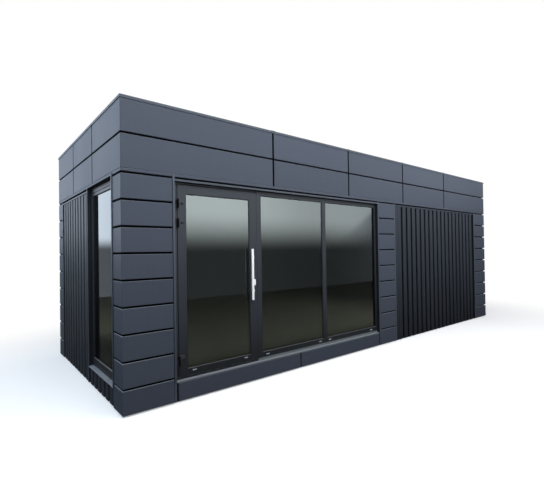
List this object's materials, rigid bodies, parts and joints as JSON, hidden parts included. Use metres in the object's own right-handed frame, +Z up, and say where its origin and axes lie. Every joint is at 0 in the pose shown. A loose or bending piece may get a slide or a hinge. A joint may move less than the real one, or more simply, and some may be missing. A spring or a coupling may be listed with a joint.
{
  "type": "shipping container cabin",
  "caption": "Flat-roofed modular cabin with a glazed front, a hinged glass door, a tall side window, cassette and box-rib cladding and a two-row fascia under a coping.",
  "frame": {"origin": "on the ground under the middle of the cabin", "axes": "+X along the front to the right as seen from outside, +Y from the front to the back, +Z up"},
  "size_m": [7.962, 2.972, 3],
  "materials": {
    "cassette": "satin anthracite powder coat",
    "trim": "satin anthracite powder coat",
    "rib_sheet": "matt anthracite coil coat",
    "sill": "grey coated aluminium",
    "frame": "fine-textured anthracite powder coat",
    "leaf": "fine-textured anthracite powder coat",
    "glass": "solar-control glass",
    "steel": "brushed stainless",
    "hinge": "black",
    "wall": "white lining on an insulated panel",
    "floor": "oak boards",
    "roof": "white lining on an insulated deck",
    "membrane": "matt",
    "base": "black primer"
  },
  "bodies": {
    "cabin": {"front_left_corner_cassettes": "cassette", "front_right_corner_cassettes": "cassette", "back_right_corner_cassettes": "cassette", "back_left_corner_cassettes": "cassette", "front_pier_cassettes": "cassette", "fascia_corner_cassettes": "cassette", "fascia_panels": "cassette", "fascia_drip_rails": "cassette", "front_plinth_cassettes": "cassette", "edge_trims": "trim", "head_trims": "trim", "roof_coping": "trim", "front_rib_sheet": "rib_sheet", "left_rib_sheet": "rib_sheet", "window_apron_sheet": "rib_sheet", "right_rib_sheet": "rib_sheet", "back_rib_sheet": "rib_sheet", "front_sill": "sill", "window_sill": "sill", "front_frame_posts": "frame", "front_frame_heads": "frame", "front_frame_bottoms": "frame", "window_posts": "frame", "window_rails": "frame", "front_fixed_panes": "glass", "window_pane": "glass", "frame_hinge_halves": "hinge", "front_wall_left": "wall", "front_wall_head": "wall", "front_wall_right": "wall", "back_wall": "wall", "right_wall": "wall", "left_wall_back": "wall", "left_wall_head": "wall", "left_wall_front": "wall", "floor_deck": "floor", "roof_deck": "roof", "roof_upstands": "roof", "roof_membrane": "membrane", "base_side_beams": "base", "base_cross_beams": "base"},
    "door": {"door_stiles": "leaf", "door_rails": "leaf", "door_glass": "glass", "door_hinge_halves": "hinge", "door_pull_handles": "steel", "door_lock_plates": "steel"}
  },
  "joints": [
    {"name": "door_hinge", "type": "hinge", "parent": "cabin", "child": "door", "pos_m": [-3.3965, -1.45, 1], "axis": [0, 0, -1], "range_deg": [0, 105]}
  ]
}
